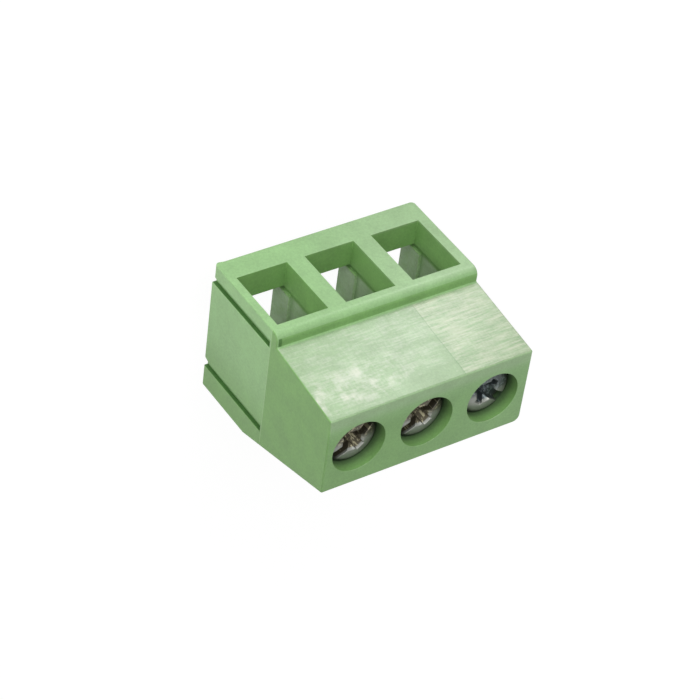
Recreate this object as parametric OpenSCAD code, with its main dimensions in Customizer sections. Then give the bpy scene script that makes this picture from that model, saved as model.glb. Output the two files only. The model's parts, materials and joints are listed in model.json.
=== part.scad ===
// Interlocking three-pole terminal block for a circuit board, with rising clamps worked by screws.
// X runs along the row of poles, wires enter from -Y, screws are turned from +Z, and the board's
// surface is Z = 0. The origin is on the middle solder pin's axis, in the board's surface.
// The end at +X has the grooves and the end at -X has the tongues that fit a neighbour's grooves.
// "From the rear" sizes are measured from the housing's straight rear face, towards the wire side.

/* [Row of poles] */
// Distance between the centres of neighbouring poles
pitch = 5.08; // [4.2:0.01:6.6]
// How far the poles sit from the middle of the row, towards the grooved end
pole_shift = 0.11; // [0:0.01:0.15]
// Plastic between neighbouring wire entries
divider_t = 1.35; // [1.1:0.05:1.8]

/* [Housing] */
// Height of the housing above the board
body_h = 14.41; // [13.5:0.01:17.5]
// Depth of the housing at its foot, rear face to front face, without the rim
body_d = 9.44; // [8.6:0.01:11.5]
// Height of the straight part of the rear face
rear_straight_h = 5.25; // [3:0.05:8]
// How far the rear face leans forward at the top
rear_lean = 2.6; // [1.5:0.1:3]
// How far the front face leans back at the top
front_lean = 0.82; // [0.4:0.01:1.2]
// Radius of the upright edge between the tongued end and the leaning rear face
rear_edge_r = 0.5; // [0.2:0.05:0.8]
// Height of the cut below the partitions, which lets flux vapour out
relief_h = 0.75; // [0.3:0.05:1.2]
// Skin of the tongued end that still reaches the board beside that cut
relief_skin = 0.31; // [0.2:0.01:0.5]

/* [Rim and wire entries] */
// Thickness of the rim plate that stands out of the front face
rim_t = 0.99; // [0.6:0.01:1.4]
// Gap between the rim plate and the board
rim_base = 0.15; // [0.1:0.05:0.4]
// Height of the rim plate's top edge above the board
rim_top = 7.91; // [7.5:0.01:9]
// Radius of the rim plate's front top edge
rim_edge_r = 0.6; // [0.2:0.05:0.8]
// Radius of the rim plate's two corners at the board
rim_corner_r = 0.3; // [0.1:0.05:0.6]
// Height of the wire entry's lower edge above the board
entry_z0 = 1.95; // [1.5:0.05:2.4]
// Height of the wire entry
entry_h = 4.97; // [4:0.01:5.5]
// Front wall behind the rim plate, through which the wire entries run
front_wall_t = 1.02; // [0.7:0.01:1.4]

/* [Chambers] */
// Depth of the recess between the guide pads and the chamber walls
pad_t = 0.185; // [0.1:0.005:0.25]
// Height of the guide pads' upper edge above the board
pad_top = 2.65; // [2:0.05:4]
// Gap between the front wall and the guide pads
pad_gap = 0.42; // [0.2:0.01:0.8]

/* [Ends] */
// Width of the grooves in one end
groove_w = 0.56; // [0.4:0.01:0.8]
// Depth of the grooves
groove_depth = 0.3; // [0.15:0.01:0.3]
// Height of the grooves' blind end above the board
groove_top = 7.05; // [5:0.05:7.4]
// Thickness of the foot behind the lower groove
foot_t = 1.71; // [1.2:0.01:2]
// Clearance on each side of a tongue in its groove
tongue_gap = 0.05; // [0.02:0.01:0.1]
// Lead-in beside the lower groove, across the end face
lead_w = 0.2; // [0.1:0.05:0.4]
// Lead-in beside the lower groove, along the height
lead_h = 0.6; // [0.3:0.05:1]

/* [Screws] */
// Diameter of the thread
thread_d = 2.5; // [2:0.1:3]
// Clearance on each side of the screw in the housing
thread_gap = 0.05; // [0.02:0.01:0.1]
// Clearance on each side of the screw in the clamp's bore
clamp_thread_gap = 0.02; // [0.01:0.01:0.05]
// Diameter of the head
head_d = 3.6; // [3:0.05:4]
// Height of the head at its middle
head_h = 1.4; // [1.1:0.05:1.8]
// Height of the crown above the head's edge
head_crown = 0.3; // [0.1:0.05:0.5]
// Radius of the head's edge
head_edge_r = 0.14; // [0.05:0.01:0.2]
// Clearance on each side of the head in its well
head_gap = 0.15; // [0.1:0.01:0.3]
// Depth of the crown below the housing's top face
head_sink = 0.57; // [0.3:0.01:1.2]
// Width of the screwdriver slot
slot_w = 0.7; // [0.5:0.05:0.9]
// Depth of the screwdriver slot below the crown
slot_depth = 0.75; // [0.5:0.05:0.9]
// Width of the wings of the cross recess
wing_w = 0.62; // [0.4:0.01:0.8]
// Reach of the wings from the middle at the crown
wing_reach = 1.05; // [0.8:0.05:1.3]
// Depth of the cross recess below the crown
wing_depth = 1.1; // [0.8:0.05:1.2]
// Length of the chamfer at the screw's tip
tip_chamfer = 0.3; // [0.1:0.05:0.5]

/* [Clamps] */
// Plastic between the screw's head and the clamp's chamber
web_t = 1.35; // [0.8:0.05:2]
// Thickness of the clamp's threaded top plate
clamp_top_t = 1.2; // [0.9:0.05:1.6]
// Thickness of the clamp's bottom plate
clamp_floor_t = 0.7; // [0.5:0.05:0.9]
// Thickness of the clamp's sides
clamp_side_t = 0.5; // [0.4:0.05:0.7]
// Outer radius of the clamp's corners
clamp_corner_r = 0.4; // [0.2:0.05:0.6]
// Clearance on each side of the clamp between the guide pads
clamp_gap = 0.065; // [0.03:0.005:0.1]
// Clearance of the clamp to the chamber's ceiling, front and rear
clamp_end_gap = 0.1; // [0.05:0.01:0.2]
// Depth of the grip grooves across the clamp's floor
grip_depth = 0.15; // [0.05:0.05:0.3]
// Distance between the grip grooves
grip_step = 0.8; // [0.6:0.05:1.2]

/* [Contacts] */
// Distance from the housing's rear face to the solder pins
pin_from_rear = 2.8; // [2.4:0.05:3]
// Thickness of the contact strip
strip_t = 0.8; // [0.6:0.05:1]
// Inner radius of the contact's bend
bend_r = 0.25; // [0.1:0.05:0.4]
// Height of the contact bar's underside above the board
bar_z = 5.75; // [5.2:0.05:6]
// How far the contact bar reaches under the front wall
bar_seat = 0.3; // [0.2:0.05:0.5]
// Clearance of the contact to the clamp's sides and to its own slot
strip_gap = 0.1; // [0.05:0.01:0.15]
// Clearance between the contact bar and the screw's tip, and between the bar and the clamp's floor
bar_gap = 0.05; // [0.02:0.01:0.1]
// Diameter of the solder pins
pin_d = 0.9; // [0.7:0.05:1]
// Length of the solder pins below the board's surface
pin_length = 3.0; // [2.5:0.1:4]
// Length of the chamfer at the solder pin's tip
pin_tip = 0.3; // [0.1:0.05:0.5]

/* [Hidden] */
$fn = 64;
poles = 3;
cut = 1; // how far a cutting shape runs past the face that it opens
lap = 0.2; // how far joined shapes run into each other

// The row
row_length = poles * pitch;
grooved_x = row_length / 2 - pole_shift;
tongued_x = -row_length / 2 - pole_shift;
entry_w = pitch - divider_t;
chamber_w = entry_w + 2 * pad_t;

// Along the depth, from the rear face
screw_from_rear = (rear_lean + body_d - front_lean) / 2;
slot_rear = pin_from_rear - strip_t / 2 - strip_gap;
slot_front = pin_from_rear + strip_t / 2 + strip_gap;
chamber_front = body_d - front_wall_t;
clamp_half_d = screw_from_rear - slot_front - 2 * clamp_end_gap;
lintel_rear = screw_from_rear + clamp_half_d + clamp_end_gap;

// Along the height, from the board
bar_top = bar_z + strip_t;
crown_z = body_h - head_sink;
head_z = crown_z - head_h;
seat_z = head_z - bar_gap;
ceiling_z = seat_z - web_t;
clamp_top = ceiling_z - clamp_end_gap;
clamp_floor_top = bar_z - bar_gap;

// Across a pole
clamp_w = entry_w - 2 * clamp_gap;
bar_w = clamp_w - 2 * clamp_side_t - 2 * strip_gap;
thread_r = thread_d / 2;
head_r = head_d / 2;

// The screws were driven home to these different turns, in degrees
SLOT_TURNS = [-38, 40, 40];

// Y of a place given by its distance from the rear face
function depth_y(from_rear) = pin_from_rear - from_rear;

// X of pole 1, 2 or 3, from the tongued end to the grooved end
function pole_x(pole) = (pole - 2) * pitch;

// A box between two X values, two distances from the rear face and two heights
module block(x0, x1, d0, d1, z0, z1) {
    translate([x0, depth_y(d1), z0])
        cube([x1 - x0, d1 - d0, z1 - z0]);
}

// A side view, drawn as Y and Z, run along the row between two X values
module along_row(x0, x1) {
    translate([x0, 0, 0])
        rotate([90, 0, 90])
            linear_extrude(x1 - x0)
                children();
}

// A front view, drawn as X and Z, run through the depth between two distances from the rear face
module through_depth(d0, d1) {
    translate([0, depth_y(d0), 0])
        rotate([90, 0, 0])
            linear_extrude(d1 - d0)
                children();
}

// A rectangle from (x0, y0) to (x1, y1) with its own radius at the corners named in a list,
// counted 0 to 3 from the lower left one, anticlockwise
module rounded_rect(x0, y0, x1, y1, r, corners = [0, 1, 2, 3]) {
    spots = [[x0, y0], [x1, y0], [x1, y1], [x0, y1]];
    inward = [[1, 1], [-1, 1], [-1, -1], [1, -1]];
    difference() {
        translate([x0, y0])
            square([x1 - x0, y1 - y0]);
        for (i = corners)
            difference() {
                translate(spots[i] + [min(inward[i][0], 0), min(inward[i][1], 0)] * r)
                    square(r);
                translate(spots[i] + inward[i] * r)
                    circle(r);
            }
    }
}

// ---------------------------------------------------------------- housing

// Side view of the housing without its rim
module body_outline() {
    polygon([
        [depth_y(0), 0],
        [depth_y(0), rear_straight_h],
        [depth_y(rear_lean), body_h],
        [depth_y(body_d - front_lean), body_h],
        [depth_y(body_d), rim_top],
        [depth_y(body_d), 0]
    ]);
}

// The plate round the wire entries, with its rolled top edge and its two rounded corners
module rim() {
    intersection() {
        along_row(tongued_x, grooved_x)
            rounded_rect(
                depth_y(body_d + rim_t), rim_base, depth_y(body_d - lap), rim_top, rim_edge_r, [3]
            );
        through_depth(body_d - lap, body_d + rim_t)
            rounded_rect(tongued_x, rim_base, grooved_x, rim_top, rim_corner_r, [0, 1]);
    }
}

// The distances from the rear face at which each groove and its tongue start
function groove_starts() = [foot_t, body_d - groove_w];

module grooves() {
    for (start = groove_starts())
        block(
            grooved_x - groove_depth, grooved_x + cut,
            start, start + groove_w, -cut, groove_top
        );
    // Lead-in on the plate between the grooves
    through_lead = foot_t + groove_w;
    translate([grooved_x - groove_depth, 0, 0])
        rotate([90, 0, 90])
            linear_extrude(groove_depth + cut)
                polygon([
                    [depth_y(through_lead - lap), -lead_h],
                    [depth_y(through_lead + 2 * lead_w), -lead_h],
                    [depth_y(through_lead), lead_h],
                    [depth_y(through_lead - lap), lead_h]
                ]);
}

module tongues() {
    for (start = groove_starts())
        block(
            tongued_x - groove_depth + tongue_gap, tongued_x + lap,
            start + tongue_gap, start + groove_w - tongue_gap, rim_base, groove_top - tongue_gap
        );
}

// The pads that guide the clamp between the chamber's side walls
module guide_pads() {
    for (side = [-1, 1])
        translate([side * (entry_w + pad_t) / 2, 0, 0])
            block(-pad_t / 2, pad_t / 2, slot_front - lap, chamber_front - pad_gap, relief_h, pad_top);
}

// The hollow of one pole: wire entry, chamber, clamp's pocket, contact's slot and screw's well
module pole_hollow() {
    half = chamber_w / 2;
    // Wire entry
    block(
        -entry_w / 2, entry_w / 2, chamber_front - lap, body_d + rim_t + cut,
        entry_z0, entry_z0 + entry_h
    );
    // Chamber, open to the board
    difference() {
        block(-half, half, slot_front, chamber_front, -cut, bar_top);
        guide_pads();
    }
    // Pocket in which the clamp rises
    block(-half, half, slot_front + clamp_end_gap, lintel_rear, bar_z, ceiling_z);
    // Slot for the contact's leg
    block(
        -bar_w / 2 - strip_gap, bar_w / 2 + strip_gap,
        slot_rear, slot_front + lap, -cut, bar_top
    );
    // Screw's bore and its head's well
    translate([0, depth_y(screw_from_rear), 0]) {
        translate([0, 0, ceiling_z - lap])
            cylinder(r = thread_r + thread_gap, h = web_t + 2 * lap);
        translate([0, 0, seat_z])
            cylinder(r = head_r + head_gap, h = body_h - seat_z + cut);
    }
}

// Takes the corner off the upright edge between the tongued end and the leaning rear face
module rear_edge_cut() {
    rise = body_h - rear_straight_h;
    lean = atan(rear_lean / rise);
    reach = rise / cos(lean);
    translate([tongued_x, depth_y(0), rear_straight_h])
        rotate([lean, 0, 0])
            difference() {
                translate([-cut, -rear_edge_r, 0])
                    cube([cut + rear_edge_r, rear_edge_r + cut, reach + cut]);
                translate([rear_edge_r, -rear_edge_r, -cut])
                    cylinder(r = rear_edge_r, h = reach + 3 * cut);
            }
}

module housing() {
    color("#8cb87c")
        difference() {
            union() {
                along_row(tongued_x, grooved_x)
                    body_outline();
                rim();
                tongues();
            }
            for (pole = [1:poles])
                translate([pole_x(pole), 0, 0])
                    pole_hollow();
            block(
                tongued_x + relief_skin, pole_x(poles) + chamber_w / 2,
                slot_front, chamber_front, -cut, relief_h
            );
            grooves();
            rear_edge_cut();
        }
}

// ---------------------------------------------------------------- screws

// Half of the head's section: straight side, rounded edge and crowned top
module head_section() {
    dome_r = (head_r * head_r + head_crown * head_crown) / (2 * head_crown);
    edge_h = head_h - head_crown;
    intersection() {
        union() {
            square([head_r - head_edge_r, head_h]);
            square([head_r, edge_h - head_edge_r]);
            translate([head_r - head_edge_r, edge_h - head_edge_r])
                circle(head_edge_r);
        }
        translate([0, head_h - dome_r])
            circle(dome_r, $fn = 180);
    }
}

// Slot and cross recess together, cut down from the crown
module driver_recess() {
    foot_reach = wing_reach - wing_depth * tan(27);
    translate([-head_d, -slot_w / 2, -slot_depth])
        cube([2 * head_d, slot_w, slot_depth + cut]);
    for (turn = [0, 90])
        rotate([90, 0, turn])
            translate([0, 0, -wing_w / 2])
                linear_extrude(wing_w)
                    polygon([
                        [-foot_reach, -wing_depth],
                        [foot_reach, -wing_depth],
                        [wing_reach, 0],
                        [wing_reach, cut],
                        [-wing_reach, cut],
                        [-wing_reach, 0]
                    ]);
    // Countersink that takes the corners off the four wings
    translate([0, 0, -wing_w])
        cylinder(r1 = wing_w * 0.6, r2 = wing_w * 1.4, h = wing_w);
}

module screw(pole) {
    shank_z = bar_top + bar_gap;
    color("#b9bcb8")
        translate([pole_x(pole), depth_y(screw_from_rear), 0])
            rotate([0, 0, SLOT_TURNS[pole - 1]])
                difference() {
                    union() {
                        translate([0, 0, shank_z])
                            cylinder(r1 = thread_r - tip_chamfer, r2 = thread_r, h = tip_chamfer);
                        translate([0, 0, shank_z + tip_chamfer])
                            cylinder(r = thread_r, h = head_z - shank_z - tip_chamfer + lap);
                        translate([0, 0, head_z])
                            rotate_extrude()
                                head_section();
                    }
                    translate([0, 0, crown_z])
                        driver_recess();
                }
}

// ---------------------------------------------------------------- clamps

// The rising clamp: a box of strip, threaded at the top, with grip grooves on its floor
module clamp(pole) {
    floor_z = clamp_floor_top - clamp_floor_t;
    inner_w = clamp_w - 2 * clamp_side_t;
    color("#a7a99f")
        translate([pole_x(pole), 0, 0])
            difference() {
                through_depth(screw_from_rear - clamp_half_d, screw_from_rear + clamp_half_d)
                    difference() {
                        rounded_rect(-clamp_w / 2, floor_z, clamp_w / 2, clamp_top, clamp_corner_r);
                        rounded_rect(
                            -inner_w / 2, clamp_floor_top, inner_w / 2, clamp_top - clamp_top_t,
                            clamp_corner_r / 2, [2, 3]
                        );
                    }
                // Threaded bore, which also clears the shank where a wide thread meets the sides
                translate([0, depth_y(screw_from_rear), clamp_floor_top])
                    cylinder(r = thread_r + clamp_thread_gap, h = clamp_top - clamp_floor_top + cut);
                for (i = [-1:1])
                    along_row(-inner_w / 2, inner_w / 2)
                        translate([depth_y(screw_from_rear) + i * grip_step, clamp_floor_top])
                            polygon([
                                [-grip_depth, 0],
                                [0, -grip_depth],
                                [grip_depth, 0],
                                [grip_depth, lap],
                                [-grip_depth, lap]
                            ]);
            }
}

// ---------------------------------------------------------------- contacts

// Side view of the bent strip: the bar through the clamp and the leg down to the board
module strip_outline() {
    leg_rear = depth_y(pin_from_rear - strip_t / 2);
    leg_front = depth_y(pin_from_rear + strip_t / 2);
    outer_r = bend_r + strip_t;
    difference() {
        union() {
            rounded_rect(leg_front - bend_r, bar_z - bend_r, leg_rear, bar_top, outer_r, [2]);
            translate([leg_front, 0])
                square([strip_t, bar_z - bend_r + lap]);
            translate([depth_y(lintel_rear + bar_seat), bar_z])
                square([lintel_rear + bar_seat - pin_from_rear - strip_t / 2, strip_t]);
        }
        translate([leg_front - bend_r, bar_z - bend_r])
            circle(bend_r);
    }
}

module contact(pole) {
    color("#c9cac4")
        translate([pole_x(pole), 0, 0])
            union() {
                along_row(-bar_w / 2, bar_w / 2)
                    strip_outline();
                translate([0, 0, -(pin_length - pin_tip)])
                    cylinder(d = pin_d, h = pin_length - pin_tip);
                translate([0, 0, -pin_length])
                    cylinder(d1 = pin_d - pin_tip, d2 = pin_d, h = pin_tip);
            }
}

housing();
screw(1);  // screw_1
screw(2);  // screw_2
screw(3);  // screw_3
clamp(1);  // clamp_1
clamp(2);  // clamp_2
clamp(3);  // clamp_3
contact(1);  // contact_1
contact(2);  // contact_2
contact(3);  // contact_3
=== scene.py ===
"""Looks of a three-pole screw terminal for a circuit board.

Operators build the moulded housing, the plated screws, the rising clamps, the contact strips and
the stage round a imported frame. Lengths are metres, and material patterns are worked in millimetres.
"""
import json
import math

import bmesh
import bpy
from mathutils import Matrix, Vector
from mathutils.bvhtree import BVHTree


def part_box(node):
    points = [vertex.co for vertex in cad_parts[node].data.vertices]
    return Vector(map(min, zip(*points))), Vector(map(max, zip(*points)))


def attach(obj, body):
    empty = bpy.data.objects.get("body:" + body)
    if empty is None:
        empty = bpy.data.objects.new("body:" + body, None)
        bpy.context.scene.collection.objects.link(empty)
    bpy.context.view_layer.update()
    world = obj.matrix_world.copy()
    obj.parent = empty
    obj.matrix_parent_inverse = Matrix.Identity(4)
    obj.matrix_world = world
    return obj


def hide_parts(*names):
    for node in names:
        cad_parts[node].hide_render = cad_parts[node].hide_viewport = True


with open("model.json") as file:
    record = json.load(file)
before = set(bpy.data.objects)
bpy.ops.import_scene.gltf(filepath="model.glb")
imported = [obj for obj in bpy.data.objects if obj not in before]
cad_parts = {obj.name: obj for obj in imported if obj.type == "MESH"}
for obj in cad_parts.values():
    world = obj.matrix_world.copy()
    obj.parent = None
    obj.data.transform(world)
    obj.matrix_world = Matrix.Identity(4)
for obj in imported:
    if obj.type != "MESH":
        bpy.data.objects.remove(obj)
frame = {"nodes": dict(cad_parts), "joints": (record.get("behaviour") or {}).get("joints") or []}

bl_info = {
    "name": "Three-Pole Screw Terminal",
    "version": (1, 0, 0),
    "blender": (4, 5, 0),
    "location": "3D View > Sidebar > Terminal",
    "description": "Builds the visible pieces of a screw terminal round its packed frame",
    "category": "Object",
}

MM = 0.001
POLES = (1, 2, 3)
MERGE = 1e-6  # how close two points of a CAD mesh lie when they are the same point
FLAT = math.radians(0.5)  # the most that two faces of one flat may differ
CREASE = math.radians(12)  # a bend from here on shows as a crease
ROUNDED = math.radians(30)  # a bend from here on is rounded
CUSP = math.radians(15)  # two edges that meet under less can't be rounded
LEDGE = 0.1 * MM * MM  # nor can the edges of a face that is smaller than this
ROOMY = 1.0 * MM  # a face this wide has room for any rounding
SLOPE_HEIGHT = 6.4 * MM  # the leaning front's faces have their centres within this of the top
ROUND = [math.radians(45 * step) for step in range(8)]  # eight ways to look round a face
THREAD_COLUMNS, THREAD_ROWS = 73, 150  # points round a thread and along it

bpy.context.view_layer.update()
HOUSING_LOW, HOUSING_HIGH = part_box("housing")
PITCH = (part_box("screw_3")[0].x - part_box("screw_1")[0].x) / 2
PIN_TIP_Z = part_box("contact_1")[0].z

# Places in the millimetres that the materials work in
END_X = HOUSING_HIGH.x / MM  # the grooved end
RIM_Y = HOUSING_LOW.y / MM  # the face of the rim
TOP_Z = HOUSING_HIGH.z / MM  # the face with the screws
BETWEEN_POLES = PITCH / 2 / MM
END_LINE_Z = 7.25  # a fine line crosses the grooved end here, just above its grooves
GROOVE_X = END_X - 0.36  # just under the floor of those grooves
WELL_Z = 12.0  # just under the floor of the screw wells
UNDERLIT_Z = 8.0  # painted light brightens the chambers below this


# ---------------------------------------------------------------- settings


def length(name, description, default):
    """A property that holds a length in metres."""
    return bpy.props.FloatProperty(
        name=name, description=description, default=default, min=0.0, unit="LENGTH", precision=6
    )


def share(name, description, default, most=1.0):
    """A property that holds a plain number from 0 upwards."""
    return bpy.props.FloatProperty(
        name=name, description=description, default=default, min=0.0, max=most
    )


def colour(name, description, default):
    """A property that holds a linear colour."""
    return bpy.props.FloatVectorProperty(
        name=name, description=description, default=default, size=3, subtype="COLOR",
        min=0.0, max=1.0,
    )


class TerminalHousingSettings(bpy.types.PropertyGroup):
    """Sizes and colours of the moulded housing."""

    outer_edge: length("Outer edges", "Width of the rounding on outer edges", 0.12 * MM)
    inner_edge: length("Inner edges", "Width of the rounding in the openings", 0.04 * MM)
    plastic: colour("Plastic", "Colour of the moulded plastic", (0.24, 0.42, 0.18))
    # Painted shade: this green darkens the openings, the far part of the face with the screws and the
    # end
    shade_green: colour("Painted shade plastic", "Colour inside the openings", (0.17, 0.345, 0.10))
    # Painted shade in the grooves of the end
    grooved: colour("Grooved plastic", "Colour in the grooves of the end", (0.05, 0.14, 0.03))
    # Painted shade deep in the screw wells
    shaded: colour("Shaded plastic", "Colour deep in the screw wells", (0.03, 0.06, 0.025))
    # Painted light on the chamber walls low down
    painted_underlight: colour("Underlit plastic", "Colour of the painted light low in the chambers", (0.46, 0.58, 0.41))
    sloping: colour("Sloping plastic", "Colour of the leaning front face", (0.25, 0.37, 0.20))
    # This pale is partly real scuffing and partly painted sheen; it also paints the light at the
    # brink and pales the rim
    scuff_and_sheen: colour("Scuff and sheen plastic", "Colour where the slope is rubbed pale", (0.58, 0.60, 0.53))
    dust_and_sheen: colour("Dust and sheen plastic", "Warm tint of the streaks on the slope", (0.60, 0.59, 0.44))
    seam: colour("Seam", "Colour of the fine lines between the poles", (0.10, 0.25, 0.09))
    # Painted highlight along the fine step across the end
    step_highlight: colour("Step highlight", "Colour of the fine line across the end", (0.50, 0.66, 0.40))
    roughness: share("Roughness", "Roughness of the moulded faces", 0.46)
    inner_roughness: share("Inner roughness", "Roughness inside the openings", 0.72)
    slope_roughness: share("Slope roughness", "Roughness of the leaning front face", 0.34)


class TerminalScrewSettings(bpy.types.PropertyGroup):
    """Sizes and colours of the plated screws."""

    thread_pitch: length("Thread pitch", "Rise of the thread in one turn", 0.45 * MM)
    crest_radius: length("Crest radius", "Radius of the thread's crest", 1.243 * MM)
    root_radius: length("Root radius", "Radius of the thread's root", 0.98 * MM)
    tip_chamfer: length("Tip chamfer", "How much the thread narrows at the tip", 0.28 * MM)
    forging_grid: length("Forging detail", "Size of the smallest detail of the head", 0.03 * MM)
    plating: colour("Plating", "Colour of the zinc plating", (0.31, 0.32, 0.295))
    # The film colours also paint a dark reflection on the side of the head towards the wires
    passivated: colour("Passivation", "Warm colour of the film in a recess", (0.085, 0.075, 0.05))
    bluish: colour("Blue passivation", "Cool colour of the film in a recess", (0.07, 0.085, 0.09))
    # Light scores in the film, partly bared metal and partly painted highlights on the recess's ribs
    bared_and_highlit: colour("Bared metal", "Colour of the bright scores in a recess", (0.46, 0.43, 0.28))
    cold_and_highlit: colour("Cold metal", "Colour of the scores under the cool film", (0.25, 0.30, 0.31))
    # Painted shade and dark reflection on the rounded edge of the head
    painted_edge_shade: colour("Edge shade", "Colour of the dull ring at the head's edge", (0.06, 0.07, 0.05))
    crowning: share("Crowning", "Fall of the crown in mm for each square mm of radius", 0.0926)
    metallic: share("Metallic", "How much the plating mirrors rather than scatters", 0.7)
    roughness: share("Roughness", "Roughness of the plating", 0.42)


class TerminalStripSettings(bpy.types.PropertyGroup):
    """Sizes and colours of the clamps and the contact strips."""

    clamp_edge: length("Clamp edges", "Width of the rounding on the clamps", 0.05 * MM)
    contact_edge: length("Contact edges", "Width of the rounding on the contacts", 0.04 * MM)
    nickel: colour("Nickel", "Colour of the clamps' plating", (0.50, 0.49, 0.45))
    tin: colour("Tin", "Colour of the contacts' plating", (0.62, 0.62, 0.60))
    roughness: share("Roughness", "Roughness of the strip", 0.36)


class TerminalStageSettings(bpy.types.PropertyGroup):
    """Floor, lamps and camera."""

    floor: colour("Floor", "Colour of the floor", (0.90, 0.90, 0.90))
    ground_glow: share("Ground glow", "How white the floor looks by itself", 0.945)
    shadow_depth: share("Shadow depth", "How much a shadow shows on the floor", 0.10)
    ambient: share("Ambient", "Strength of the even light from all round", 0.35)
    key_radiance: share("Key lamp", "Radiance of the large lamp in front", 4.4, 50.0)
    card_radiance: share("Low card", "Radiance of the low card that gleams on the slope", 6.0, 50.0)
    end_radiance: share("End card", "Radiance of the card beside the grooved end", 4.8, 50.0)
    rear_radiance: share("Rear lamp", "Radiance of the low lamp behind", 3.6, 50.0)
    lens: share("Lens", "Focal length of the camera in mm", 129.2, 500.0)


# ---------------------------------------------------------------- node trees


def add(tree, kind, inputs=None, **settings):
    """A new node with its settings, its inputs given a value or linked to a socket."""
    made = tree.nodes.new(kind)
    for name, value in settings.items():
        setattr(made, name, value)
    for key, value in (inputs or {}).items():
        if isinstance(value, bpy.types.NodeSocket):
            tree.links.new(value, made.inputs[key])
        else:
            made.inputs[key].default_value = value
    return made


def calc(tree, operation, *values, clamp=False):
    """The output of a Math node."""
    made = add(tree, "ShaderNodeMath", dict(enumerate(values)), operation=operation)
    made.use_clamp = clamp
    return made.outputs[0]


def product(tree, *values):
    """All the values multiplied."""
    result = values[0]
    for value in values[1:]:
        result = calc(tree, "MULTIPLY", result, value)
    return result


def scaled(tree, vector, factor):
    """A vector or colour times a number."""
    made = add(tree, "ShaderNodeVectorMath", {0: vector, "Scale": factor}, operation="SCALE")
    return made.outputs[0]


def ramp(tree, value, start, end, low=0.0, high=1.0):
    """A smooth step from low to high as value goes from start to end."""
    ports = {"Value": value, "From Min": start, "From Max": end, "To Min": low, "To Max": high}
    made = add(tree, "ShaderNodeMapRange", ports, interpolation_type="SMOOTHSTEP")
    return made.outputs["Result"]


def blend(tree, factor, first, second):
    """The colour output of a Mix node."""
    made = add(tree, "ShaderNodeMix", data_type="RGBA")
    for key, value in ((0, factor), (6, first), (7, second)):
        if isinstance(value, bpy.types.NodeSocket):
            tree.links.new(value, made.inputs[key])
        else:
            made.inputs[key].default_value = (*value, 1.0) if key > 0 else value
    return made.outputs[2]


def millimetres(tree):
    """Object coordinates in millimetres, as a vector and as its X, Y and Z."""
    metres = add(tree, "ShaderNodeTexCoord").outputs["Object"]
    place = scaled(tree, metres, 1 / MM)
    return place, *add(tree, "ShaderNodeSeparateXYZ", {0: place}).outputs


def noise(tree, vector, scale, detail=3.0, roughness=0.5):
    """The value of a Noise Texture, about 0.5 in the middle."""
    ports = {"Vector": vector, "Scale": scale, "Detail": detail, "Roughness": roughness}
    return add(tree, "ShaderNodeTexNoise", ports).outputs[0]


def shader_group(name, inputs, outputs):
    """A new shader node group with its sockets, and its input and output nodes."""
    tree = bpy.data.node_groups.new(name, "ShaderNodeTree")
    for label, (kind, default) in inputs.items():
        socket = tree.interface.new_socket(label, in_out="INPUT", socket_type=kind)
        if default is not None:
            socket.default_value = default
    for label, kind in outputs.items():
        tree.interface.new_socket(label, in_out="OUTPUT", socket_type=kind)
    return tree, tree.nodes.new("NodeGroupInput"), tree.nodes.new("NodeGroupOutput")


def moulding_group():
    """Surface left by a mould: wide soft mottling and fine spark-eroded grain."""
    tree, given, result = shader_group(
        "Mould Finish",
        {
            "Place": ("NodeSocketVector", None),
            "Mottle per mm": ("NodeSocketFloat", 0.7),
            "Grain per mm": ("NodeSocketFloat", 7.0),
        },
        {"Mottle": "NodeSocketFloat", "Grain": "NodeSocketFloat"},
    )
    place = given.outputs["Place"]
    mottle = noise(tree, place, given.outputs["Mottle per mm"], detail=2.0)
    grain = noise(tree, place, given.outputs["Grain per mm"], detail=3.0, roughness=0.6)
    tree.links.new(mottle, result.inputs["Mottle"])
    tree.links.new(grain, result.inputs["Grain"])
    return tree


def streak_group():
    """Fine parallel lines that run along one direction and break off."""
    tree, given, result = shader_group(
        "Streaks",
        {
            "Place": ("NodeSocketVector", None),
            "Stretch": ("NodeSocketVector", (0.3, 7.0, 7.0)),
            "Sharpness": ("NodeSocketFloat", 2.0),
        },
        {"Streaks": "NodeSocketFloat"},
    )
    drawn = add(
        tree, "ShaderNodeVectorMath",
        {0: given.outputs["Place"], 1: given.outputs["Stretch"]}, operation="MULTIPLY",
    )
    lines = noise(tree, drawn.outputs[0], 1.0, detail=4.0, roughness=0.65)
    centred = calc(tree, "SUBTRACT", lines, 0.5)
    sharpened = calc(tree, "MULTIPLY_ADD", centred, given.outputs["Sharpness"], 0.5, clamp=True)
    tree.links.new(sharpened, result.inputs["Streaks"])
    return tree


def placed_group(tree, group, **ports):
    """A group node in a material, with its own values."""
    made = add(tree, "ShaderNodeGroup")
    made.node_tree = group
    for label, value in ports.items():
        socket = made.inputs[label.replace("_", " ")]
        if isinstance(value, bpy.types.NodeSocket):
            tree.links.new(value, socket)
        else:
            socket.default_value = value
    return made.outputs


def face_value(tree, name):
    """The value of a face attribute."""
    return add(tree, "ShaderNodeAttribute", attribute_name=name).outputs["Fac"]


def new_material(name):
    """A material with an empty node tree but for its Principled shader and output."""
    made = bpy.data.materials.new(name)
    made.use_nodes = True
    tree = made.node_tree
    return made, tree, tree.nodes["Principled BSDF"]


def shared_groups():
    """The shader groups, built once."""
    names = {"Mould Finish": moulding_group, "Streaks": streak_group}
    return {name: bpy.data.node_groups.get(name) or build() for name, build in names.items()}


def streaks(tree, place, stretch, sharpness):
    """The value of the shared streaks."""
    group = shared_groups()["Streaks"]
    return placed_group(tree, group, Place=place, Stretch=stretch, Sharpness=sharpness)["Streaks"]


def mould_finish(tree, place, **ports):
    """The mottle and the grain of the shared mould finish."""
    return placed_group(tree, shared_groups()["Mould Finish"], Place=place, **ports)


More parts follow.
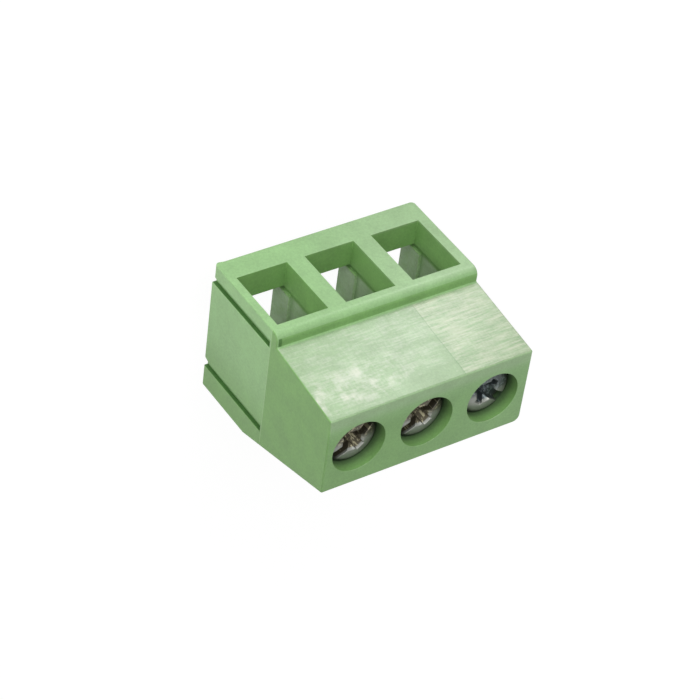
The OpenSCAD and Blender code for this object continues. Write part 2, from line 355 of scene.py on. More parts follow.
def bump(tree, shader, height, distance):
    """Makes the shader's surface rise with the height."""
    made = add(tree, "ShaderNodeBump", {"Height": height, "Distance": distance, "Strength": 1.0})
    tree.links.new(made.outputs[0], shader.inputs["Normal"])


# ---------------------------------------------------------------- materials


def slope_rubbing_and_sheen(tree, place, x, z, drawn, broad, woven, last_pole):
    """How pale the slope is painted: streaks, a weave, and pale patches on the grooved side, partly
    real rubbing and partly painted sheen.
    """
    # The pole at the tongued end is paled most, and the others least towards the screws, by rubbing
    # and by painted sheen
    upper = product(tree, ramp(tree, z, 12.2, 13.6), ramp(tree, x, 5.0, 1.0, 0.0, 0.14))
    other_poles = calc(tree, "SUBTRACT", 1.0, last_pole)
    spared = product(tree, calc(tree, "ADD", upper, 0.16), other_poles)
    rubbed_and_sheen = calc(tree, "SUBTRACT", calc(tree, "MULTIPLY_ADD", broad, 0.24, 0.10), spared)
    weave = product(tree, calc(tree, "SUBTRACT", woven, 0.5), 0.40)
    rubbed_and_sheen = calc(tree, "ADD", calc(tree, "ADD", rubbed_and_sheen, drawn), weave)
    across = product(tree, ramp(tree, z, 10.4, 11.6), ramp(tree, z, 14.2, 13.2))
    spots = ramp(tree, noise(tree, place, 0.85, detail=4.0, roughness=0.6), 0.42, 0.70)
    patches = product(tree, spots, across, ramp(tree, x, -1.5, 3.5))
    return calc(tree, "MULTIPLY_ADD", patches, 0.62, rubbed_and_sheen, clamp=True)


def fine_line(tree, distance, half_width):
    """1 on a fine line, from the distance to its middle."""
    return ramp(tree, calc(tree, "ABSOLUTE", distance), half_width, half_width / 3)


def pole_seams(tree, x):
    """Fine lines on the slope, where inserts of the mould met between the poles."""
    tongued = fine_line(tree, calc(tree, "ADD", x, BETWEEN_POLES), 0.045)
    grooved = fine_line(tree, calc(tree, "SUBTRACT", x, BETWEEN_POLES), 0.04)
    return calc(tree, "ADD", product(tree, tongued, 0.9), product(tree, grooved, 0.35))


def moulded_green(tree, own, x, y, z, slope, inside, end_face):
    """The green of each face with its painted shade and painted light, and the factor of painted
    shade that darkens the end.
    """
    on_top = ramp(tree, z, TOP_Z - 0.11, TOP_Z - 0.03)
    # Painted shade: the face with the screws and the end are deeper green away from the wire side,
    # the end above its fine line as well, and the openings are deeper green inside
    top = product(
        tree, on_top, ramp(tree, y, -5.3, -3.6, 0.0, 0.6), ramp(tree, x, -7.0, 3.0, 0.4, 1.0)
    )
    above_line = ramp(tree, z, END_LINE_Z - 0.05, END_LINE_Z + 0.05, 0.0, 0.95)
    rear = ramp(tree, y, -3.0, 2.6, 0.0, 0.95)
    end = product(tree, calc(tree, "MAXIMUM", above_line, rear), end_face)
    painted_shade = calc(tree, "MAXIMUM", calc(tree, "MAXIMUM", top, end), inside)
    green = blend(tree, painted_shade, tuple(own.plastic), tuple(own.shade_green))
    # The rim's face is paler towards the tongued end, and a band of painted light runs along the
    # brink of the slope
    on_rim = ramp(tree, y, RIM_Y + 0.23, RIM_Y + 0.08)
    paler_rim = product(tree, on_rim, ramp(tree, x, 4.0, -6.0, 0.0, 0.12))
    painted_brink_light = product(tree, on_top, ramp(tree, y, -4.6, -5.4, 0.0, 0.16))
    green = blend(tree, calc(tree, "MAXIMUM", paler_rim, painted_brink_light), green, tuple(own.scuff_and_sheen))
    green = blend(tree, slope, green, tuple(own.sloping))
    return green, calc(tree, "MULTIPLY_ADD", end, -0.09, 1.0)


def well_shade(tree, z, inside):
    """Painted shade in a screw well, which grows down to the screw's head in faint rings."""
    height = add(tree, "ShaderNodeCombineXYZ", {"Z": z}).outputs[0]
    rings = calc(tree, "MULTIPLY_ADD", noise(tree, height, 5.0, detail=2.0), 0.5, 0.65)
    well = product(tree, inside, ramp(tree, z, TOP_Z - 0.03, TOP_Z - 1.11), rings)
    return calc(tree, "MULTIPLY", well, ramp(tree, z, WELL_Z - 0.5, WELL_Z), clamp=True)


def plastic_material(own):
    """Green moulded polyamide, with a streaked slope above the rim that is paled by rubbing and by
    painted sheen, and with painted shade and light on its faces.
    """
    made, tree, shader = new_material("Moulded green plastic")
    place, x, y, z = millimetres(tree)
    finish = mould_finish(tree, place)
    slope = face_value(tree, "slope")
    inside = ramp(tree, face_value(tree, "inside"), 0.05, 0.45)
    end_face = ramp(tree, x, END_X - 0.08, END_X - 0.02)
    end_line = fine_line(tree, calc(tree, "SUBTRACT", z, END_LINE_Z), 0.05)
    end_line = product(tree, end_line, end_face)
    seams = product(tree, pole_seams(tree, x), slope)

    # Streaks run along the row, and are strongest on the pole at the tongued end
    fine = streaks(tree, place, (0.7, 6.5, 6.5), 2.4)
    broad = streaks(tree, place, (0.6, 1.3, 1.5), 2.6)
    crossed = streaks(tree, place, (5.0, 0.8, 0.8), 2.2)
    last_pole = ramp(tree, x, -BETWEEN_POLES + 0.1, -BETWEEN_POLES - 0.1)
    streak_share = calc(tree, "MULTIPLY_ADD", last_pole, 0.34, 0.16)
    drawn = product(tree, calc(tree, "SUBTRACT", fine, 0.5), streak_share)
    woven = product(tree, calc(tree, "ADD", crossed, fine), 0.5)
    rubbed_and_sheen = slope_rubbing_and_sheen(tree, place, x, z, drawn, broad, woven, last_pole)
    warm = calc(tree, "MULTIPLY_ADD", last_pole, 0.5, product(tree, broad, 0.4))

    # Painted shade darkens the grooves and the screw wells, and painted light brightens the chamber
    # walls low down
    green, end_shade_factor = moulded_green(tree, own, x, y, z, slope, inside, end_face)
    groove_shade = product(tree, inside, ramp(tree, x, GROOVE_X - 0.05, GROOVE_X + 0.05))
    green = blend(tree, groove_shade, green, tuple(own.grooved))
    green = blend(tree, well_shade(tree, z, inside), green, tuple(own.shaded))
    # Painted light on the lower chamber walls, streaked
    low = ramp(tree, z, UNDERLIT_Z + 0.5, UNDERLIT_Z - 0.5)
    underlit_walls = product(tree, ramp(tree, y, -5.3, -5.0), low, calc(tree, "SUBTRACT", inside, groove_shade))
    painted_underlight = product(tree, underlit_walls, calc(tree, "MULTIPLY_ADD", crossed, 0.5, 0.15))
    green = blend(tree, painted_underlight, green, tuple(own.painted_underlight))

    tone = calc(tree, "MULTIPLY_ADD", finish["Mottle"], 0.34, 0.635)
    tone = calc(tree, "MULTIPLY_ADD", finish["Grain"], 0.44, tone)
    # The end is darkened further by painted shade
    toned = scaled(tree, green, product(tree, tone, end_shade_factor))
    # The pale colour of the slope, from rubbing and painted sheen, warmer on the last pole
    rubbed_and_sheen_colour = blend(tree, warm, tuple(own.scuff_and_sheen), tuple(own.dust_and_sheen))
    base = blend(tree, product(tree, rubbed_and_sheen, slope), toned, rubbed_and_sheen_colour)
    base = blend(tree, product(tree, seams, 0.30), base, tuple(own.seam))
    # A painted highlight along the fine step across the end
    base = blend(tree, product(tree, end_line, 0.20), base, tuple(own.step_highlight))
    tree.links.new(base, shader.inputs["Base Color"])

    plain = calc(tree, "MULTIPLY_ADD", finish["Mottle"], 0.10, own.roughness - 0.05)
    matt = product(tree, inside, calc(tree, "SUBTRACT", 1.0, underlit_walls))
    plain = calc(tree, "MULTIPLY_ADD", matt, own.inner_roughness - own.roughness, plain)
    glossy = calc(tree, "MULTIPLY_ADD", broad, -0.12, own.slope_roughness + 0.06)
    rough = calc(tree, "MULTIPLY_ADD", calc(tree, "SUBTRACT", glossy, plain), slope, plain)
    tree.links.new(rough, shader.inputs["Roughness"])

    # Heights count in steps of the bump's distance
    height = product(tree, fine, streak_share, slope, 3.0)
    height = calc(tree, "MULTIPLY_ADD", finish["Grain"], 0.5, height)
    height = calc(tree, "MULTIPLY_ADD", seams, -3.0, height)
    height = calc(tree, "MULTIPLY_ADD", end_line, 2.0, height)
    bump(tree, shader, height, 0.002 * MM)
    return made


def plating_material(name, own, film, bared_and_highlit, axis, top):
    """Zinc plating, with a film in the driver's recess, the film's colour painted as a dark
    reflection on the side towards the wires, and a ring of painted shade at the head's edge.
    """
    made, tree, shader = new_material(name)
    place, x, y, z = millimetres(tree)
    finish = mould_finish(tree, place, Mottle_per_mm=2.2, Grain_per_mm=14.0)
    across = calc(tree, "SUBTRACT", x, axis.x / MM)
    away = calc(tree, "SUBTRACT", y, axis.y / MM)
    square = calc(tree, "MULTIPLY_ADD", across, across, product(tree, away, away))
    radius = calc(tree, "SQRT", square)
    # How far a spot lies under the crown of the head
    crown = calc(tree, "MULTIPLY_ADD", square, -own.crowning, top)
    under = calc(tree, "SUBTRACT", crown, z)
    in_recess = product(tree, ramp(tree, under, 0.05, 0.16), ramp(tree, radius, 1.75, 1.6))
    # The side towards the wires gets the film's colour too, as a painted dark reflection
    patchy = ramp(tree, finish["Mottle"], 0.15, 0.45, 0.5, 1.0)
    painted_dark_reflection = product(tree, ramp(tree, away, 0.35, -0.25), patchy, 0.9)
    film_and_dark_reflection = calc(tree, "MAXIMUM", in_recess, painted_dark_reflection)
    # Light scores in the recess film: partly bared metal, partly painted highlights
    scores_and_highlights = ramp(tree, streaks(tree, place, (4.5, 4.5, 0.5), 5.0), 0.62, 0.95, 0.0, 0.75)
    film_and_reflection_colour = blend(tree, scores_and_highlights, tuple(film), tuple(bared_and_highlit))
    tone = calc(tree, "MULTIPLY_ADD", finish["Mottle"], 0.30, 0.85)
    base = blend(tree, film_and_dark_reflection, scaled(tree, tuple(own.plating), tone), film_and_reflection_colour)
    # A ring of painted shade and painted dark reflection on the head's rounded edge
    edge_shade = ramp(tree, radius, 1.40, 1.78, 0.0, 0.9)
    tree.links.new(blend(tree, edge_shade, base, tuple(own.painted_edge_shade)), shader.inputs["Base Color"])
    rough = calc(tree, "MULTIPLY_ADD", finish["Grain"], 0.22, own.roughness - 0.08)
    tree.links.new(rough, shader.inputs["Roughness"])
    shader.inputs["Metallic"].default_value = own.metallic
    bump(tree, shader, finish["Grain"], 0.003 * MM)
    return made


def strip_material(name, tint, roughness, stretch):
    """Plated metal strip with rolling marks along its length."""
    made, tree, shader = new_material(name)
    place = millimetres(tree)[0]
    marks = streaks(tree, place, stretch, 1.6)
    finish = mould_finish(tree, place, Mottle_per_mm=1.6, Grain_per_mm=16.0)
    tone = calc(tree, "MULTIPLY_ADD", marks, 0.16, 0.80)
    tone = calc(tree, "MULTIPLY_ADD", finish["Mottle"], 0.12, tone)
    tree.links.new(scaled(tree, tuple(tint), tone), shader.inputs["Base Color"])
    rough = calc(tree, "MULTIPLY_ADD", marks, 0.18, roughness - 0.09)
    tree.links.new(rough, shader.inputs["Roughness"])
    shader.inputs["Metallic"].default_value = 1.0
    bump(tree, shader, calc(tree, "MULTIPLY_ADD", finish["Grain"], 0.5, marks), 0.0015 * MM)
    return made


# ---------------------------------------------------------------- meshes


def merged(node):
    """A CAD node's mesh as a bmesh, its loose triangles joined at their corners."""
    mesh = bmesh.new()
    mesh.from_mesh(frame["nodes"][node].data)
    bmesh.ops.remove_doubles(mesh, verts=mesh.verts, dist=MERGE)
    return mesh


def weigh_edges(mesh, width, inner_share):
    """Gives each sharp edge its share of the rounding: 1 where both faces lie open, less inside.

    Where a face is too narrow for the rounding of both its sides, they share what there is.
    """
    weights = mesh.edges.layers.float.new("bevel_weight_edge")
    skin = BVHTree.FromBMesh(mesh)
    step, lift = 0.02 * MM, 0.002 * MM  # how far inside the face, and off it, the tests are made
    half_room = 0.45  # what a rounding may take of the room, so that two sides don't meet

    def room_and_sky(loop):
        """How wide the loop's face is beside its edge, and whether it lies open there."""
        start, normal = loop.vert.co, loop.face.normal
        along = loop.link_loop_next.vert.co - start
        inward = normal.cross(along).normalized()
        room = ROOMY
        for part in (0.02, 0.5, 0.98):
            for side in (-step, step):
                spot = start + along * part + inward * step + normal * side
                reached = skin.ray_cast(spot, inward, ROOMY)[3]
                room = min(room, reached or ROOMY)
        above = start + along / 2 + inward * step + normal * lift
        return room, skin.ray_cast(above, normal)[0] is None

    for edge in mesh.edges:
        if edge.calc_face_angle() > ROUNDED:
            rooms, skies = zip(*(room_and_sky(loop) for loop in edge.link_loops))
            most = half_room * min(rooms) / width
            edge[weights] = min(1.0 if all(skies) else inner_share, most)
    # Two edges that run out at a point, and the edges of a tiny ledge, are too close to round
    dropped = set()
    for face in mesh.faces:
        if face.calc_area() < LEDGE:
            dropped.update(face.edges)
        for loop in face.loops:
            pair = loop.edge, loop.link_loop_prev.edge
            if loop.calc_angle() < CUSP and all(edge[weights] > 0 for edge in pair):
                dropped.update(pair)
    for edge in dropped:
        edge[weights] = 0.0
    # A corner with one sharp side and two rounded ones doesn't close. The corners are gone
    # through in a fixed order, so that the result is the same each run.
    mesh.verts.index_update()
    corners = {vert for edge in dropped for vert in edge.verts}
    for corner in sorted(corners, key=lambda vert: vert.index):
        left = [edge for edge in corner.link_edges if edge[weights] > 0]
        if len(left) > 1:
            for edge in left:
                edge[weights] = 0.0
    for edge in mesh.edges:
        edge.smooth = edge[weights] > 0 or edge.calc_face_angle() < CREASE


def finished(mesh, name, edge_width, segments=3):
    """The bmesh as a new object with its weighted edges rounded and its shading even."""
    data = bpy.data.meshes.new(name)
    mesh.to_mesh(data)
    mesh.free()
    data.polygons.foreach_set("use_smooth", [True] * len(data.polygons))
    rough = bpy.data.objects.new(name + "_rough", data)
    bpy.context.collection.objects.link(rough)
    bevel = rough.modifiers.new("Rounded edges", "BEVEL")
    bevel.limit_method = "WEIGHT"
    bevel.width = edge_width
    bevel.segments = segments
    bevel.use_clamp_overlap = False
    bevel.loop_slide = False
    evened = rough.modifiers.new("Even shading", "WEIGHTED_NORMAL")
    evened.keep_sharp = True
    return plain_mesh(rough, name)


def plain_mesh(source, name):
    """A plain object with the evaluated mesh of source, which is removed."""
    graph = bpy.context.evaluated_depsgraph_get()
    data = bpy.data.meshes.new_from_object(
        source.evaluated_get(graph), preserve_all_data_layers=True, depsgraph=graph
    )
    data.name = name
    bpy.data.objects.remove(source, do_unlink=True)
    made = bpy.data.objects.new(name, data)
    bpy.context.collection.objects.link(made)
    return made


def put_in_place(piece, material, body, slot, *nodes):
    """Gives a piece its material and its body, and hides the CAD nodes that it stands for. The slot
    is not used.
    """
    piece.data.materials.clear()
    piece.data.materials.append(material)
    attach(piece, body)
    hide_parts(*nodes)


def rounded_node(node, name, width, inner_share):
    """A copy of a CAD node with its edges rounded."""
    mesh = merged(node)
    bmesh.ops.dissolve_limit(mesh, angle_limit=FLAT, verts=mesh.verts, edges=mesh.edges)
    mesh.normal_update()
    weigh_edges(mesh, width, inner_share)
    return finished(mesh, name, width)


def mark_faces(data):
    """Face attributes: slope is 1 on the leaning front, inside grows with how shut in a face is."""
    mesh = bmesh.new()
    mesh.from_mesh(data)
    skin = BVHTree.FromBMesh(mesh)
    mesh.free()
    lift, reach = 0.01 * MM, 8.0 * MM

    def shut_in(face):
        turn = face.normal.to_track_quat("Z", "Y")
        looks = [Vector((math.cos(a), math.sin(a), 1.0)) for a in ROUND] + [Vector((0, 0, 1))]
        start = face.center + face.normal * lift
        hits = [skin.ray_cast(start, turn @ look.normalized(), reach)[0] for look in looks]
        return sum(hit is not None for hit in hits) / len(looks)

    def leans(face):
        above_rim = face.center.z > HOUSING_HIGH.z - SLOPE_HEIGHT
        faces_wires = face.normal.y < -0.9 and face.normal.z > 0.08
        return float(above_rim and faces_wires)

    for name, measure in (("slope", leans), ("inside", shut_in)):
        layer = data.attributes.new(name, "FLOAT", "FACE")
        layer.data.foreach_set("value", [measure(face) for face in data.polygons])


def thread_tree():
    """Geometry nodes for a closed threaded rod on the Z axis, pointed below and run out above."""
    tree = bpy.data.node_groups.new("Threaded Shank", "GeometryNodeTree")
    ports = tree.interface
    sockets = (
        ("Crest Radius", 1.24 * MM), ("Root Radius", 1.0 * MM), ("Pitch", 0.45 * MM),
        ("Low End", 0.0), ("High End", 6.0 * MM), ("Chamfer", 0.3 * MM),
    )
    for label, default in sockets:
        socket = ports.new_socket(label, in_out="INPUT", socket_type="NodeSocketFloat")
        socket.default_value = default
    for label, default in (("Columns", THREAD_COLUMNS), ("Rows", THREAD_ROWS)):
        socket = ports.new_socket(label, in_out="INPUT", socket_type="NodeSocketInt")
        socket.default_value = default
    ports.new_socket("Material", in_out="INPUT", socket_type="NodeSocketMaterial")
    ports.new_socket("Geometry", in_out="OUTPUT", socket_type="NodeSocketGeometry")
    given = tree.nodes.new("NodeGroupInput").outputs
    result = tree.nodes.new("NodeGroupOutput")

    grid = add(
        tree, "GeometryNodeMeshGrid",
        {"Size X": 1.0, "Size Y": 1.0, "Vertices X": given["Columns"], "Vertices Y": given["Rows"]},
    ).outputs["Mesh"]
    on_grid = add(tree, "GeometryNodeInputPosition").outputs[0]
    spot = add(tree, "ShaderNodeSeparateXYZ", {0: on_grid})
    turn = calc(tree, "ADD", spot.outputs["X"], 0.5)
    rise = calc(tree, "ADD", spot.outputs["Y"], 0.5)
    # The first and last rows lie at the same height as their neighbours and close the ends
    last = calc(tree, "SUBTRACT", given["Rows"], 1.0)
    row = calc(tree, "ROUND", calc(tree, "MULTIPLY", rise, last))
    run = calc(tree, "DIVIDE", calc(tree, "SUBTRACT", row, 1.0), calc(tree, "SUBTRACT", last, 2.0))
    run = calc(tree, "MINIMUM", calc(tree, "MAXIMUM", run, 0.0), 1.0)
    span = calc(tree, "SUBTRACT", given["High End"], given["Low End"])
    height = calc(tree, "MULTIPLY_ADD", run, span, given["Low End"])
    # The thread's wave, which the steepening makes flat at crest and root
    steepening = 1.35
    turns = calc(tree, "DIVIDE", height, given["Pitch"])
    phase = calc(tree, "FRACT", calc(tree, "SUBTRACT", turns, turn))
    wave = calc(tree, "ABSOLUTE", calc(tree, "MULTIPLY_ADD", phase, 2.0, -1.0))
    wave = calc(tree, "MULTIPLY_ADD", wave, steepening, (1 - steepening) / 2, clamp=True)
    from_low = calc(tree, "SUBTRACT", height, given["Low End"])
    from_high = calc(tree, "SUBTRACT", given["High End"], height)
    fade = calc(tree, "DIVIDE", from_high, given["Pitch"], clamp=True)
    wave = calc(tree, "MULTIPLY", wave, fade)
    depth = calc(tree, "SUBTRACT", given["Crest Radius"], given["Root Radius"])
    radius = calc(tree, "MULTIPLY_ADD", wave, depth, given["Root Radius"])
    pointed = calc(tree, "SUBTRACT", given["Crest Radius"], given["Chamfer"])
    radius = calc(tree, "MINIMUM", radius, calc(tree, "ADD", pointed, from_low))
    inner = calc(tree, "COMPARE", row, 0.0, 0.5)
    outer = calc(tree, "COMPARE", row, last, 0.5)
    wall = calc(tree, "SUBTRACT", 1.0, calc(tree, "ADD", inner, outer))
    radius = calc(tree, "MULTIPLY", radius, wall)
    angle = calc(tree, "MULTIPLY", turn, 2 * math.pi)
    across = calc(tree, "MULTIPLY", radius, calc(tree, "COSINE", angle))
    away = calc(tree, "MULTIPLY", radius, calc(tree, "SINE", angle))
    spot = add(tree, "ShaderNodeCombineXYZ", {"X": across, "Y": away, "Z": height}).outputs[0]
    rod = add(tree, "GeometryNodeSetPosition", {"Geometry": grid, "Position": spot}).outputs[0]
    rod = add(
        tree, "GeometryNodeMergeByDistance", {"Geometry": rod, "Distance": 0.0001 * MM}
    ).outputs[0]
    rod = add(tree, "GeometryNodeSetShadeSmooth", {"Geometry": rod}).outputs[0]
    rod = add(tree, "GeometryNodeRealizeInstances", {"Geometry": rod}).outputs[0]
    painted = add(
        tree, "GeometryNodeSetMaterial", {"Geometry": rod, "Material": given["Material"]}
    )
    tree.links.new(painted.outputs[0], result.inputs[0])
    return tree


def threaded_shank(name, own, low, high, material):
    """A threaded rod on the Z axis between two heights."""
    tree = bpy.data.node_groups.get("Threaded Shank") or thread_tree()
    rod = bpy.data.objects.new(name, bpy.data.meshes.new(name))
    bpy.context.collection.objects.link(rod)
    modifier = rod.modifiers.new("Thread", "NODES")
    modifier.node_group = tree
    values = {
        "Crest Radius": own.crest_radius, "Root Radius": own.root_radius,
        "Pitch": own.thread_pitch, "Low End": low, "High End": high,
        "Chamfer": own.tip_chamfer, "Columns": THREAD_COLUMNS, "Rows": THREAD_ROWS,
        "Material": material,
    }
    for item in tree.interface.items_tree:
        if item.in_out == "INPUT":
            modifier[item.identifier] = values[item.name]
    return plain_mesh(rod, name)


def forged_head(node, name, own, under_head):
    """The screw's head from the CAD node, cut off below the head and softened as forging does."""
    mesh = merged(node)
    everything = mesh.verts[:] + mesh.edges[:] + mesh.faces[:]
    cut = bmesh.ops.bisect_plane(
        mesh, geom=everything, plane_co=(0, 0, under_head), plane_no=(0, 0, 1), clear_inner=True
    )
    rim = [item for item in cut["geom_cut"] if isinstance(item, bmesh.types.BMEdge)]
    bmesh.ops.contextual_create(mesh, geom=rim)
    bmesh.ops.recalc_face_normals(mesh, faces=mesh.faces)
    data = bpy.data.meshes.new(name)
    mesh.to_mesh(data)
    mesh.free()
    rough = bpy.data.objects.new(name, data)
    bpy.context.collection.objects.link(rough)
    remesh = rough.modifiers.new("Forging", "REMESH")
    remesh.mode = "VOXEL"
    remesh.voxel_size = own.forging_grid
    remesh.use_smooth_shade = True
    soften = rough.modifiers.new("Softened", "SMOOTH")
    soften.factor = 0.5
    soften.iterations = 3
    return plain_mesh(rough, name)


def joined(first, second, name):
    """Two closed pieces as one closed skin."""
    union = first.modifiers.new("Union", "BOOLEAN")
    union.operation = "UNION"
    union.solver = "EXACT"
    union.object = second
    made = plain_mesh(first, name)
    bpy.data.objects.remove(second, do_unlink=True)
    return made


# ---------------------------------------------------------------- pieces


class TERMINAL_OT_housing(bpy.types.Operator):
    """Make the moulded housing with its rounded edges"""

    bl_idname = "terminal.housing"
    bl_label = "Moulded Housing"

    def execute(self, context):
        own = context.scene.terminal_housing
        piece = rounded_node(
            "housing", "moulded_housing", own.outer_edge, own.inner_edge / own.outer_edge,
        )
        mark_faces(piece.data)
        put_in_place(piece, plastic_material(own), "housing", "housing_plastic", "housing")
        return {"FINISHED"}


class TERMINAL_OT_screws(bpy.types.Operator):
    """Make the three plated screws, with forged heads and cut threads"""

    bl_idname = "terminal.screws"
    bl_label = "Plated Screws"

    def execute(self, context):
        own = context.scene.terminal_screws
        warm, cool = (own.passivated, own.bared_and_highlit), (own.bluish, own.cold_and_highlit)
        films = {1: cool, 2: warm, 3: warm}
        # The head is cut off just under its seat, and the shank runs up into it
        below, into = 0.03 * MM, 0.15 * MM
        for pole in POLES:
            node = f"screw_{pole}"
            low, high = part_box(node)
            middle = (low + high) / 2
            turn_joint = next(j for j in frame["joints"] if j["child"] == node)
            seat = turn_joint["pos_m"][2]
            material = plating_material(f"Plating {pole}", own, *films[pole], middle, high.z / MM)
            head = forged_head(node, f"head_{pole}", own, seat - below)
            shank = threaded_shank(f"shank_{pole}", own, low.z, seat + into, material)
            shank.data.transform(Matrix.Translation((middle.x, middle.y, 0)))
            piece = joined(head, shank, f"plated_screw_{pole}")
            piece.data.polygons.foreach_set("use_smooth", [True] * len(piece.data.polygons))
            put_in_place(piece, material, node, "screw_steel", node)
        return {"FINISHED"}


class TERMINAL_OT_clamps(bpy.types.Operator):
    """Make the three rising clamps of plated strip"""

    bl_idname = "terminal.clamps"
    bl_label = "Rising Clamps"

    def execute(self, context):
        own = context.scene.terminal_strips
        material = strip_material("Nickel plated strip", own.nickel, own.roughness, (9.0, 0.5, 9.0))
        for pole in POLES:
            node = f"clamp_{pole}"
            piece = rounded_node(node, f"rising_clamp_{pole}", own.clamp_edge, 0.6)
            put_in_place(piece, material, node, "clamp_metal", node)
        return {"FINISHED"}


class TERMINAL_OT_contacts(bpy.types.Operator):
    """Make the three bent contact strips with their solder pins"""

    bl_idname = "terminal.contacts"
    bl_label = "Contact Strips"

    def execute(self, context):
        own = context.scene.terminal_strips
        material = strip_material("Tin plated strip", own.tin, own.roughness, (9.0, 1.0, 1.0))
        for pole in POLES:
            node = f"contact_{pole}"
            piece = rounded_node(node, f"contact_strip_{pole}", own.contact_edge, 0.6)
            put_in_place(piece, material, "housing", "contact_metal", node)
        return {"FINISHED"}


# ---------------------------------------------------------------- stage


def seen_directly(tree):
    """1 for rays from the camera and for those in reflections or through clear things."""
    path = add(tree, "ShaderNodeLightPath").outputs
    seen = calc(tree, "MAXIMUM", path["Is Camera Ray"], path["Is Glossy Ray"])
    return calc(tree, "MAXIMUM", seen, path["Is Transmission Ray"])


def floor_material(own):
    """White ground that keeps a faint shadow, and plain pale card for the light that it returns."""
    made = bpy.data.materials.new("White ground")
    made.use_nodes = True
    tree = made.node_tree
    tree.nodes.clear()
    card = add(tree, "ShaderNodeBsdfDiffuse", {"Color": (*own.floor, 1.0)}).outputs[0]
    faint = (own.shadow_depth,) * 3
    veil = add(tree, "ShaderNodeBsdfDiffuse", {"Color": (*faint, 1.0)}).outputs[0]
    glow = add(tree, "ShaderNodeEmission", {"Strength": own.ground_glow}).outputs[0]
    white = add(tree, "ShaderNodeAddShader", {0: glow, 1: veil}).outputs[0]
    mixed = add(tree, "ShaderNodeMixShader", {0: seen_directly(tree), 1: card, 2: white})
    add(tree, "ShaderNodeOutputMaterial", {"Surface": mixed.outputs[0]})
    return made


def white_world(own):
    """Even light from all round, and plain white where it is seen directly."""
    world = bpy.data.worlds.new("White studio")
    world.use_nodes = True
    tree = world.node_tree
    tree.nodes.clear()
    even = add(tree, "ShaderNodeBackground", {"Strength": own.ambient}).outputs[0]
    white = add(tree, "ShaderNodeBackground", {"Strength": 1.0}).outputs[0]
    for shader in (even, white):
        shader.node.inputs["Color"].default_value = (1.0, 1.0, 1.0, 1.0)
    mixed = add(tree, "ShaderNodeMixShader", {0: seen_directly(tree), 1: even, 2: white})
    add(tree, "ShaderNodeOutputWorld", {"Surface": mixed.outputs[0]})
    bpy.context.scene.world = world


def card_lamp(name, place, target, width, depth, radiance, gleam=True, fill=True):
    """A flat lamp of even radiance that faces a target, and may only gleam or only fill."""
    data = bpy.data.lights.new(name, "AREA")
    data.shape = "RECTANGLE"
    data.size, data.size_y = width, depth
    data.energy = radiance * math.pi * width * depth
    lamp = bpy.data.objects.new(name, data)
    lamp.location = place
    lamp.rotation_mode = "QUATERNION"
    lamp.rotation_quaternion = (Vector(target) - Vector(place)).to_track_quat("-Z", "Y")
    lamp.visible_camera = False
    lamp.visible_glossy = gleam
    lamp.visible_diffuse = fill
    bpy.context.collection.objects.link(lamp)


def rolled_camera(lens):
    """The camera, rolled so that the wire side is up."""
    place = Vector((76.066, -108.822, 102.838)) * MM
    right = Vector((-0.8373, -0.10834, 0.5359)).normalized()
    back = Vector((0.46562, -0.65504, 0.59508)).normalized()
    up = back.cross(right)
    data = bpy.data.cameras.new("Camera")
    data.lens = lens
    data.sensor_width = 36.0
    data.clip_start, data.clip_end = 0.01, 10.0
    camera = bpy.data.objects.new("Camera", data)
    turned = Matrix((right, up, back)).transposed().to_4x4()
    camera.matrix_world = Matrix.Translation(place) @ turned
    bpy.context.collection.objects.link(camera)
    bpy.context.scene.camera = camera


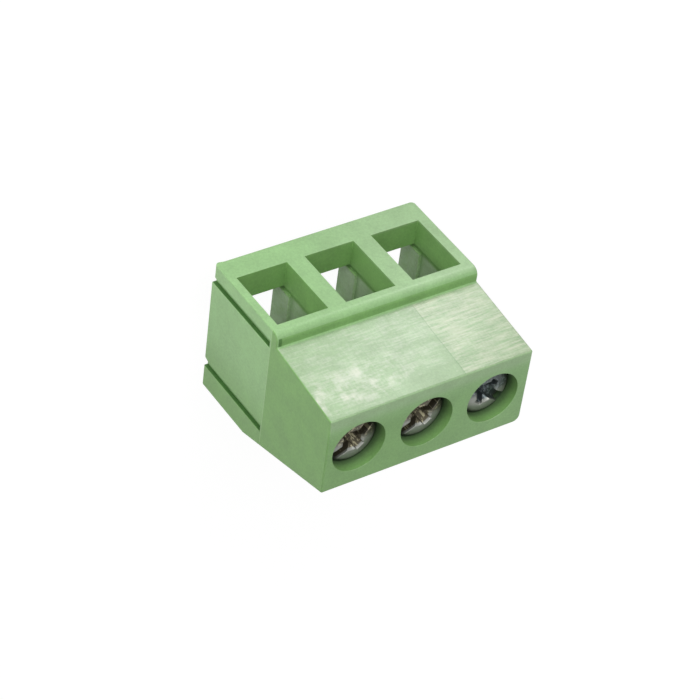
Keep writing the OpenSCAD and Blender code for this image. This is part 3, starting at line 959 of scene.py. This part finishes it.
class TERMINAL_OT_stage(bpy.types.Operator):
    """Lay the floor, light it and set the camera"""

    bl_idname = "terminal.stage"
    bl_label = "Stage"

    def execute(self, context):
        own = context.scene.terminal_stage
        reach = 1.0  # how far the floor runs each way, in metres
        sheet = bpy.data.meshes.new("floor")
        corners = [(-reach, -reach), (reach, -reach), (reach, reach), (-reach, reach)]
        sheet.from_pydata([(x, y, PIN_TIP_Z) for x, y in corners], [], [(0, 1, 2, 3)])
        floor = bpy.data.objects.new("floor", sheet)
        sheet.materials.append(floor_material(own))
        bpy.context.collection.objects.link(floor)
        white_world(own)
        centre = (HOUSING_LOW + HOUSING_HIGH) / 2
        card_lamp(
            "key", centre + Vector((60, -255, 155)) * MM, centre, 220 * MM, 220 * MM,
            own.key_radiance,
        )
        slope_middle = Vector((0, HOUSING_LOW.y + 1.4 * MM, 11.2 * MM))
        card_lamp(
            "low_card", Vector((-12, -26, 0.65)) * MM, slope_middle, 16 * MM, 10 * MM,
            own.card_radiance, fill=False,
        )
        card_lamp(
            "end_card", Vector((28, -24, 4)) * MM, Vector((7.5, -5, 5)) * MM, 14 * MM, 14 * MM,
            own.end_radiance, gleam=False,
        )
        card_lamp(
            "rear", centre + Vector((-40, 190, 14)) * MM, centre, 160 * MM, 50 * MM,
            own.rear_radiance, gleam=False,
        )
        rolled_camera(own.lens)
        context.scene.view_settings.view_transform = "Standard"
        return {"FINISHED"}


class TERMINAL_PT_pieces(bpy.types.Panel):
    """Offers the steps that build the terminal and its stage"""

    bl_idname = "TERMINAL_PT_pieces"
    bl_label = "Screw Terminal"
    bl_space_type = "VIEW_3D"
    bl_region_type = "UI"
    bl_category = "Terminal"

    def draw(self, context):
        for operator in OPERATORS:
            self.layout.operator(operator.bl_idname)


SETTINGS = {
    "terminal_housing": TerminalHousingSettings,
    "terminal_screws": TerminalScrewSettings,
    "terminal_strips": TerminalStripSettings,
    "terminal_stage": TerminalStageSettings,
}
OPERATORS = (
    TERMINAL_OT_housing,
    TERMINAL_OT_screws,
    TERMINAL_OT_clamps,
    TERMINAL_OT_contacts,
    TERMINAL_OT_stage,
)


def register():
    """Registers the settings, the operators and the panel."""
    for name, group in SETTINGS.items():
        bpy.utils.register_class(group)
        setattr(bpy.types.Scene, name, bpy.props.PointerProperty(type=group))
    for cls in (*OPERATORS, TERMINAL_PT_pieces):
        bpy.utils.register_class(cls)


def unregister():
    """Takes them away again."""
    for cls in reversed((*OPERATORS, TERMINAL_PT_pieces)):
        bpy.utils.unregister_class(cls)
    for name, group in SETTINGS.items():
        delattr(bpy.types.Scene, name)
        bpy.utils.unregister_class(group)


def main():
    """Builds everything."""
    register()
    for operator in OPERATORS:
        family, name = operator.bl_idname.split(".")
        getattr(getattr(bpy.ops, family), name)()


if __name__ == "__main__":
    main()
